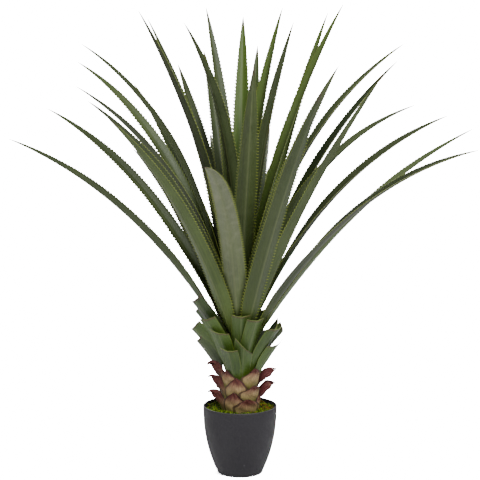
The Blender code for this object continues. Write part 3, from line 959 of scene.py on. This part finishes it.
def husk_material(name, foot, middle, tip, rim, roughness):
    material, tree, shader = new_material(name)
    streak = use_group(tree, streaks, Along=3.0, Across=26.0)
    zone = use_group(tree, zones, Margin=0.80, Keel=0.5, Tip=0.50, Base=0.95)
    mottle = use_group(tree, bloom, Size=90.0, Cover=0.45)
    body = blend(tree, zone.outputs["Base"], middle, foot)
    uneven = times(tree, math_node(tree, "SUBTRACT", streak.outputs["Streak"], 0.5), 0.5)
    height = math_node(tree, "ADD", zone.outputs["Along"], uneven)
    height = math_node(tree, "ADD", height, attribute_value(tree, "own_red"))
    body = blend(tree, remap(tree, height, 0.45, 0.92), body, tip)
    fibres = times(tree, remap(tree, streak.outputs["Fine"], 0.42, 0.62), FIBRE_SHARE)
    body = blend(tree, fibres, body, FIBRE)
    body = blend(tree, times(tree, mottle.outputs["Bloom"], SPECK_SHARE), body, SPECK)
    body = blend(tree, times(tree, zone.outputs["Margin"], HUSK_RIM_SHARE), body, rim)
    tree.links.new(body, shader.inputs["Base Color"])
    rough = remap(tree, streak.outputs["Fine"], 0.2, 0.8, roughness - 0.1, roughness + 0.1)
    tree.links.new(rough, shader.inputs["Roughness"])
    shader.inputs["Specular IOR Level"].default_value = 0.3
    add_bump(tree, shader, streak.outputs["Fine"], 0.8, 0.0012)
    return material


husk_outside = husk_material(
    "husk_outside", paint(98, 106, 36), paint(206, 166, 128), paint(88, 40, 36), paint(40, 16, 14), 0.62
)
husk_inside = husk_material(
    "husk_inside", paint(84, 50, 40), paint(118, 62, 58), paint(96, 40, 42), paint(40, 14, 14), 0.58
)
husk_rim = husk_material(
    "husk_rim", paint(70, 52, 34), paint(74, 44, 36), paint(50, 24, 22), paint(44, 20, 18), 0.7
)
print("husk materials ready")

# %% [markdown]
# ## Husks: shape
#
# Eighteen husks wrap the trunk like the scales of an artichoke: each is cupped round the trunk, and the
# lower ones lie outside the upper ones. The ones at the left and the right curl far out as narrow
# bands and end in ragged tips. The table gives for each its place and where its tip ends. The three
# tiers stand for the CAD model's three whorls.

# %% Table of husks
# tier, azimuth, foot height, reach and height of the tip, lean at the foot, droop, half width,
# raggedness, twist at the tip
HUSKS = (
    (1, 196, -0.012, 0.047, 0.049, 2, 3.0, 0.030, 0.26, 62),
    (2, 198, 0.026, 0.047, 0.088, 2, 3.0, 0.029, 0.26, 62),
    (3, 202, 0.062, 0.049, 0.122, 2, 3.0, 0.028, 0.26, 62),
    (1, 254, -0.012, 0.018, 0.056, 16, 0.6, 0.032, 0.04, 0),
    (2, 258, 0.026, 0.018, 0.094, 16, 0.6, 0.031, 0.04, 0),
    (3, 232, 0.056, 0.014, 0.112, 10, 0.8, 0.027, 0.08, 0),
    (1, 291, -0.013, 0.024, 0.040, 20, 0.8, 0.036, 0.08, 0),
    (2, 303, 0.022, 0.024, 0.074, 16, 0.8, 0.032, 0.10, 0),
    (3, 306, 0.058, 0.026, 0.118, 13, 0.9, 0.030, 0.10, 0),
    (1, 338, -0.012, 0.014, 0.042, 12, 0.8, 0.024, 0.14, 0),
    (2, 8, 0.012, 0.056, 0.062, 8, 1.7, 0.030, 0.24, 58),
    (3, 8, 0.050, 0.055, 0.099, 8, 1.7, 0.030, 0.24, 58),
    (1, 42, -0.012, 0.030, 0.044, 8, 1.4, 0.030, 0.26, 0),
    (2, 62, 0.026, 0.030, 0.082, 8, 1.4, 0.029, 0.26, 0),
    (3, 50, 0.062, 0.046, 0.132, 8, 1.2, 0.026, 0.26, 0),
    (1, 118, -0.012, 0.022, 0.046, 10, 1.0, 0.034, 0.16, 0),
    (2, 128, 0.026, 0.026, 0.086, 8, 1.2, 0.032, 0.22, 0),
    (3, 112, 0.062, 0.030, 0.120, 8, 1.3, 0.030, 0.26, 0),
)
print("husks in the table:", len(HUSKS))

# %% Outline of a husk
HUSK_WAVE = 0.03  # share of the half width


def husk_half_width(s, half, curled, wave_turn):
    """Full below the middle, then in to a point. A curled husk narrows to a band with a torn end."""
    wave = 1.0 + HUSK_WAVE * math.sin(s * 21.0 + wave_turn)
    if curled:
        band = 1.0 - 0.56 * smoothstep((s - 0.12) / 0.4)
        end = 1.0 - 0.75 * smoothstep((s - 0.68) / 0.32)
        return half * wave * band * end
    swell = 0.80 + 0.20 * smoothstep(s / 0.4)
    point = 0.10 + 0.90 * max(0.0, 1.0 - max(0.0, (s - 0.34) / 0.66) ** 2.0)
    return half * wave * swell * point


print("half width at the middle of a 30 mm husk:", round(husk_half_width(0.5, 0.030, False, 0.0), 4))

# %% Husks
HUSK_CUP_RADIUS = 0.047
HUSK_BODY = 0.0030
HUSK_STANDOFF = 0.0022  # from the trunk to the middle of a husk
OVERLAP_AZIMUTHS = (280, 330)  # the husks between these lie over both of their neighbours
OVERLAP_STANDOFF = 0.0016
CURLED_ABOVE = 0.2  # a husk more ragged than this is curled
HUSK_TURNS_OVER = 0.6
HUSK_ROWS = 30
HUSK_COLUMNS = 16

husk_blank = flat_strip("husk_blank", HUSK_ROWS, HUSK_COLUMNS)
for number, husk_row in enumerate(HUSKS):
    tier, azimuth, foot, reach, height, lean, droop, half, ragged, twist = husk_row
    dice = random.Random(500 + number)
    over = OVERLAP_STANDOFF if OVERLAP_AZIMUTHS[0] < azimuth < OVERLAP_AZIMUTHS[1] else 0.0
    start = (TRUNK_RADIUS + HUSK_STANDOFF + over, MOSS_TOP + foot)
    curled = ragged > CURLED_ABOVE
    line = arching_line(azimuth, start, blade_end(reach, height), lean, droop)
    length = line_length(line)
    husk = own_copy(husk_blank, f"husk_{tier}_{number + 1:02d}")
    body = husk.vertex_groups.new(name="body")
    turn = dice.uniform(0.0, math.tau)
    # each column of the strip ends at a height of its own, which tears the tip
    ends = [1.0 - ragged * dice.random() for _ in range(HUSK_COLUMNS + 1)]
    for vertex in husk.data.vertices:
        t = vertex.co.y
        column = min(HUSK_COLUMNS, max(0, round((t + 1.0) * HUSK_COLUMNS / 2.0)))
        s = vertex.co.x * (1.0 - (1.0 - ends[column]) * smoothstep((vertex.co.x - 0.45) / 0.55))
        wide = husk_half_width(vertex.co.x, half, curled, turn)
        across = wide * t + 0.003 * math.sin(s * 6.0 + turn) * s
        flatten = 1.0 - 0.5 * smoothstep((s - 0.3) / 0.5) * curled
        cup = (HUSK_CUP_RADIUS - math.sqrt(max(0.0, HUSK_CUP_RADIUS**2 - across**2))) * flatten
        wrinkle = 0.0011 * math.sin(t * 10.0 + turn) * s + 0.0008 * math.sin(s * 15.0 + 4.0 * t + turn)
        across, cup = turned(across, cup + wrinkle, twist * smoothstep((s - 0.1) / HUSK_TURNS_OVER))
        vertex.co = (s * length, across, cup)
        body.add([vertex.index], (1.0 - 0.6 * abs(t) ** 2.0) * (1.0 - 0.6 * s), "REPLACE")
    give_body(husk, HUSK_BODY, (husk_inside, husk_outside, husk_rim), 45.0)
    bend_along(husk, line)
    number_attribute(husk, "own_seed", dice.random())
    number_attribute(husk, "own_red", dice.uniform(0.35, 0.5) if curled else dice.uniform(0.0, 0.1))
    finish_piece(husk, "husk", f"husk_whorl_{tier}")
bpy.data.objects.remove(husk_blank)
print("husks made:", len(HUSKS))

# %% [markdown]
# ## The pot
#
# A thin plastic pot is a turned shape, and by hand it is drawn up from its foot: a round bottom is
# extruded ring by ring up the outside, over the lip, and down the inside.

# %% Drawing up a turned piece
MERGE_DISTANCE = 0.00001


def drawn_up(name, profile, segments, fill):
    """Extrudes a circle ring by ring. The profile is (radius, height) from the first ring to the last."""
    bpy.ops.object.select_all(action="DESELECT")
    radius, height = profile[0]
    bpy.ops.mesh.primitive_circle_add(
        vertices=segments, radius=radius, fill_type=fill, location=(0.0, 0.0, height)
    )
    piece = bpy.context.active_object
    piece.name = name
    bpy.ops.object.transform_apply(location=True, rotation=True, scale=True)
    bpy.ops.object.mode_set(mode="EDIT")
    bpy.ops.mesh.select_all(action="SELECT")
    for new_radius, new_height in profile[1:]:
        bpy.ops.mesh.extrude_region_move(TRANSFORM_OT_translate={"value": (0.0, 0.0, new_height - height)})
        share = new_radius / radius
        bpy.ops.transform.resize(value=(share, share, 1.0), center_override=(0.0, 0.0, new_height))
        radius, height = new_radius, new_height
    bpy.ops.mesh.select_all(action="SELECT")
    bpy.ops.mesh.remove_doubles(threshold=MERGE_DISTANCE)
    bpy.ops.mesh.normals_make_consistent(inside=False)
    object_mode()
    return piece


print("turned pieces ready, merged at", MERGE_DISTANCE)

# %% Pot
POT_FOOT_RADIUS = 0.0575
POT_WALL = 0.004
POT_FLOOR = 0.005
POT_SIDE_POWER = 2.3
POT_FOOT_ROUND = 0.005
POT_FOOT_DISH = 0.0012  # the middle of the foot is lifted by this much
POT_SEGMENTS = 128
FOOT_STEPS = 4
SIDE_STEPS = 24
LIP_STEPS = 6
INSIDE_STEPS = 16


def pot_radius(height):
    """The outside of the pot: steep at the foot, and nearly upright at the rim."""
    left = 1.0 - height / POT_HEIGHT
    return POT_FOOT_RADIUS + (POT_RIM_RADIUS - POT_FOOT_RADIUS) * (1.0 - left**POT_SIDE_POWER)


foot_radius = pot_radius(POT_FOOT_ROUND)
profile = [(foot_radius - POT_FOOT_ROUND * 2.2, POT_FOOT_DISH), (foot_radius - POT_FOOT_ROUND * 1.8, 0.0)]
for step in range(FOOT_STEPS + 1):
    angle = math.pi / 2.0 * step / FOOT_STEPS
    ring = foot_radius - POT_FOOT_ROUND * (1.0 - math.sin(angle))
    profile.append((ring, POT_FOOT_ROUND * (1.0 - math.cos(angle))))
lip = POT_WALL / 2.0
for step in range(1, SIDE_STEPS + 1):
    height = POT_FOOT_ROUND + (POT_HEIGHT - lip - POT_FOOT_ROUND) * step / SIDE_STEPS
    profile.append((pot_radius(height), height))
for step in range(1, LIP_STEPS + 1):
    angle = math.pi * step / LIP_STEPS
    profile.append((POT_RIM_RADIUS - lip + lip * math.cos(angle), POT_HEIGHT - lip + lip * math.sin(angle)))
for step in range(1, INSIDE_STEPS + 1):
    height = POT_HEIGHT - lip + (POT_FLOOR - POT_HEIGHT + lip) * step / INSIDE_STEPS
    profile.append((pot_radius(height) - POT_WALL, height))
pot = drawn_up("planter_pot", profile, POT_SEGMENTS, "NGON")
only(pot)
bpy.ops.object.shade_smooth_by_angle(angle=math.radians(40.0))
finish_piece(pot, "pot", "pot")
print("pot:", len(profile), "rings,", len(pot.data.polygons), "faces")

# %% [markdown]
# The finish is a charcoal plastic with a fine grain, faint blotches, a painted highlight along the top
# of the rim, and a few pale scuffs from handling. The scuffs are the middles of Voronoi cells, kept
# only where a slow noise is high.

# %% Pot plastic
GRAIN_SHARE = 0.3
SCUFF_CELLS = 62.0
SCUFF_SIZE = 0.09  # share of a cell
SCUFF_RARE = 0.64
SCUFF_SHARE = 0.55
RIM_HIGHLIGHT_FROM = 0.0016  # the painted highlight band starts this far below the rim
RIM_HIGHLIGHT_TO = 0.0003
RIM_HIGHLIGHT_SHARE = 0.35

pot_plastic, tree, shader = new_material("charcoal_plastic")
place = object_place(tree)
grain = noise(tree, place, 900.0, 2.0, 0.6)
cloud = noise(tree, place, 26.0, 4.0, 0.6)
body = blend(tree, remap(tree, cloud, 0.3, 0.7), paint(27, 24, 29), paint(32, 29, 34))
grainy = times(tree, remap(tree, grain, 0.35, 0.75), GRAIN_SHARE)
body = blend(tree, grainy, body, paint(50, 47, 54))
cells = add(tree, "ShaderNodeTexVoronoi", feature="F1")
cells.inputs["Scale"].default_value = SCUFF_CELLS
tree.links.new(place, cells.inputs["Vector"])
spot = math_node(tree, "LESS_THAN", cells.outputs["Distance"], SCUFF_SIZE)
rare = math_node(tree, "GREATER_THAN", noise(tree, place, 17.0, 1.0, 0.5), SCUFF_RARE)
body = blend(tree, times(tree, times(tree, spot, rare), SCUFF_SHARE), body, paint(110, 108, 114))
split = add(tree, "ShaderNodeSeparateXYZ")
tree.links.new(place, split.inputs[0])
# painted highlight: a paler band along the top of the lip
rim_highlight = remap(tree, split.outputs["Z"], POT_HEIGHT - RIM_HIGHLIGHT_FROM, POT_HEIGHT - RIM_HIGHLIGHT_TO)
body = blend(tree, times(tree, rim_highlight, RIM_HIGHLIGHT_SHARE), body, paint(96, 92, 96))
tree.links.new(body, shader.inputs["Base Color"])
tree.links.new(remap(tree, cloud, 0.25, 0.75, 0.48, 0.66), shader.inputs["Roughness"])
shader.inputs["Specular IOR Level"].default_value = 0.4
add_bump(tree, shader, grain, 0.35, 0.0006)
pot.data.materials.append(pot_plastic)
print("finish on the pot:", pot_plastic.name)

# %% [markdown]
# ## Moss
#
# The soil is topped with dyed moss: a lumpy mat of short curly strands, yellow-green with dark gaps,
# and more rusty ones at the right of the trunk. A mat is drawn as a ring and pushed into
# lumps. One curly strand is modelled and copied over it, each copy turned, scaled and tinted by chance
# from a fixed seed. Along its colour ramp own_tint goes from dark to bright green and on to rust.

# %% Moss materials
moss_green, tree, shader = new_material("moss_strands")
place = object_place(tree)
fine = noise(tree, place, 420.0, 3.0, 0.6)
tint = attribute_value(tree, "own_tint")
body = ramp(
    tree,
    tint,
    [
        (0.0, paint(24, 34, 4)),
        (0.35, paint(60, 84, 10)),
        (0.80, paint(140, 168, 36)),
        (0.88, paint(172, 118, 34)),
        (1.0, paint(112, 56, 18)),
    ],
)
body = blend(tree, times(tree, fine, 0.4), body, paint(70, 80, 12))
tree.links.new(body, shader.inputs["Base Color"])
tree.links.new(remap(tree, fine, 0.2, 0.8, 0.75, 0.95), shader.inputs["Roughness"])
shader.inputs["Specular IOR Level"].default_value = 0.15
add_bump(tree, shader, fine, 0.4, 0.0005)

moss_ground, tree, shader = new_material("moss_mat")
place = object_place(tree)
fine = noise(tree, place, 260.0, 5.0, 0.7)
# the mat's darkest greens are painted shade in the gaps between the strands, over the moss's own green
body = ramp(tree, fine, [(0.30, paint(8, 10, 2)), (0.56, paint(28, 36, 6)), (0.78, paint(70, 86, 14))])
tree.links.new(body, shader.inputs["Base Color"])
tree.links.new(remap(tree, fine, 0.2, 0.8, 0.85, 1.0), shader.inputs["Roughness"])
shader.inputs["Specular IOR Level"].default_value = 0.1
add_bump(tree, shader, fine, 0.8, 0.003)
print("moss materials ready")

# %% Moss mat
MOSS_INSIDE = 0.0445
MOSS_OUTSIDE = pot_radius(MOSS_TOP) - POT_WALL - 0.0012
MOSS_RINGS = 12
MOSS_SEGMENTS = 160
MAT_BOTTOM = MOSS_TOP - 0.012
MAT_INNER_EDGE = MOSS_TOP - 0.004
MAT_OUTER_EDGE = MOSS_TOP - 0.006
MAT_FACE = MOSS_TOP - 0.003
LUMPS_ABOVE = MOSS_TOP - 0.005
LUMP_HEIGHT = 0.0014

rings = [(MOSS_INSIDE, MAT_BOTTOM), (MOSS_INSIDE, MAT_INNER_EDGE)]
for step in range(1, MOSS_RINGS):
    rings.append((MOSS_INSIDE + (MOSS_OUTSIDE - MOSS_INSIDE) * step / MOSS_RINGS, MAT_FACE))
rings += [(MOSS_OUTSIDE, MAT_OUTER_EDGE), (MOSS_OUTSIDE, MAT_BOTTOM), (MOSS_INSIDE, MAT_BOTTOM)]
moss = drawn_up("moss_top_dressing", rings, MOSS_SEGMENTS, "NOTHING")
for vertex in moss.data.vertices:
    x, y, z = vertex.co
    if z > LUMPS_ABOVE:
        lump = math.sin(x * 210.0) * math.cos(y * 190.0 + 1.0) + 0.6 * math.sin(x * 430.0 + y * 390.0)
        vertex.co.z += LUMP_HEIGHT * lump
moss.data.materials.append(moss_ground)
moss.data.materials.append(moss_green)
only(moss)
bpy.ops.object.shade_smooth()
number_attribute(moss, "own_tint", 0.3)
print("moss mat:", len(moss.data.polygons), "faces")

# %% One curly strand
STRAND_LENGTH = 0.0190
STRAND_RADIUS = 0.00115
STRAND_CUTS = 5
STRAND_THINS = 0.6  # share of its radius that is lost at the tip
STRAND_CURL = (0.0024, 0.0020)  # how far it bends to either side

bpy.ops.object.select_all(action="DESELECT")
bpy.ops.mesh.primitive_cylinder_add(
    vertices=4, radius=STRAND_RADIUS, depth=STRAND_LENGTH, end_fill_type="TRIFAN"
)
strand_blank = bpy.context.active_object
strand_blank.name = "strand_blank"
bpy.ops.object.mode_set(mode="EDIT")
bpy.ops.mesh.select_all(action="DESELECT")
bm = bmesh.from_edit_mesh(strand_blank.data)
for edge in bm.edges:
    edge.select = abs(edge.verts[0].co.z - edge.verts[1].co.z) > STRAND_LENGTH * 0.9
bmesh.update_edit_mesh(strand_blank.data)
bpy.ops.mesh.subdivide(number_cuts=STRAND_CUTS)
object_mode()
for vertex in strand_blank.data.vertices:
    s = vertex.co.z / STRAND_LENGTH + 0.5
    thin = 1.0 - STRAND_THINS * s
    vertex.co.x = vertex.co.x * thin + STRAND_CURL[0] * math.sin(s * 4.6)
    vertex.co.y = vertex.co.y * thin + STRAND_CURL[1] * math.sin(s * 7.0 + 0.8)
strand_blank.data.materials.append(moss_ground)
strand_blank.data.materials.append(moss_green)
for polygon in strand_blank.data.polygons:
    polygon.material_index = 1
    polygon.use_smooth = True
print("strand:", len(strand_blank.data.polygons), "faces")

# %% Moss strands
STRANDS = 1000
STRAND_MARGIN = 0.004  # strands keep this far from the edges of the mat
STRANDS_FROM = 0.0030  # the lowest lie this far below the top of the moss
STRANDS_SPREAD = 0.0065
RUSTY_CORNER = (0.02, -0.02)  # right of this x and behind this y, more strands are rusty
RUSTY_THERE = 0.30
RUSTY_ELSEWHERE = 0.03

dice = random.Random(7)
strands = []
for number in range(STRANDS):
    strand = own_copy(strand_blank, f"strand_{number}")
    angle = dice.uniform(0.0, math.tau)
    nearest, farthest = MOSS_INSIDE + STRAND_MARGIN, MOSS_OUTSIDE - STRAND_MARGIN
    radius = math.sqrt(dice.uniform(nearest**2, farthest**2))
    height = MOSS_TOP - STRANDS_FROM + STRANDS_SPREAD * dice.random() ** 1.5
    strand.location = (radius * math.cos(angle), radius * math.sin(angle), height)
    strand.rotation_euler = (dice.uniform(1.1, 2.0), dice.uniform(-0.5, 0.5), dice.uniform(0.0, math.tau))
    size = dice.uniform(0.55, 1.1)
    strand.scale = (size, size, size * dice.uniform(0.6, 1.0))
    in_corner = strand.location.x > RUSTY_CORNER[0] and strand.location.y > RUSTY_CORNER[1]
    rusty = dice.random() < (RUSTY_THERE if in_corner else RUSTY_ELSEWHERE)
    number_attribute(strand, "own_tint", dice.uniform(0.88, 1.0) if rusty else dice.uniform(0.02, 0.8))
    strands.append(strand)
bpy.data.objects.remove(strand_blank)
bpy.ops.object.select_all(action="DESELECT")
for strand in strands:
    strand.select_set(True)
moss.select_set(True)
bpy.context.view_layer.objects.active = moss
bpy.ops.object.join()
# strands that reach past the wall of the pot are pressed in
for vertex in moss.data.vertices:
    reach = math.hypot(vertex.co.x, vertex.co.y)
    if reach > MOSS_OUTSIDE:
        vertex.co.x *= MOSS_OUTSIDE / reach
        vertex.co.y *= MOSS_OUTSIDE / reach
finish_piece(moss, "moss", "moss")
print("moss:", len(moss.data.polygons), "faces")

# %% [markdown]
# ## Soil and trunk
#
# The soil under the moss and the trunk inside the husks are hidden, but the CAD solids are right, so
# they stay and only get their finishes: dark crumbs, and brown fibres that run up the stem.

# %% Potting soil
soil_finish, tree, shader = new_material("potting_soil")
place = object_place(tree)
crumbs = noise(tree, place, 340.0, 6.0, 0.7)
body = ramp(tree, crumbs, [(0.30, paint(28, 20, 14)), (0.55, paint(60, 44, 32)), (0.75, paint(96, 76, 56))])
tree.links.new(body, shader.inputs["Base Color"])
tree.links.new(remap(tree, crumbs, 0.2, 0.8, 0.85, 1.0), shader.inputs["Roughness"])
add_bump(tree, shader, crumbs, 0.9, 0.003)
print("finish:", soil_finish.name)

# %% Fibrous trunk
FIBRE_STRETCH = 0.08  # the noise is drawn out by one over this, along Z

trunk_finish, tree, shader = new_material("fibrous_trunk")
place = object_place(tree)
stretch = add(tree, "ShaderNodeMapping")
stretch.inputs["Scale"].default_value = (1.0, 1.0, FIBRE_STRETCH)
tree.links.new(place, stretch.inputs["Vector"])
fibres = noise(tree, stretch.outputs[0], 420.0, 5.0, 0.65)
blotches = noise(tree, place, 60.0, 3.0, 0.6)
browns = [(0.30, paint(52, 36, 22)), (0.52, paint(112, 88, 56)), (0.75, paint(156, 132, 92))]
body = ramp(tree, fibres, browns)
body = blend(tree, times(tree, blotches, 0.4), body, paint(70, 60, 34))
tree.links.new(body, shader.inputs["Base Color"])
tree.links.new(remap(tree, fibres, 0.2, 0.8, 0.7, 0.95), shader.inputs["Roughness"])
add_bump(tree, shader, fibres, 0.8, 0.0015)

for name, finish in (("soil", soil_finish), ("trunk", trunk_finish)):
    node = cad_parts[name]
    node.data.materials.clear()
    node.data.materials.append(finish)
print("finishes on soil and trunk")
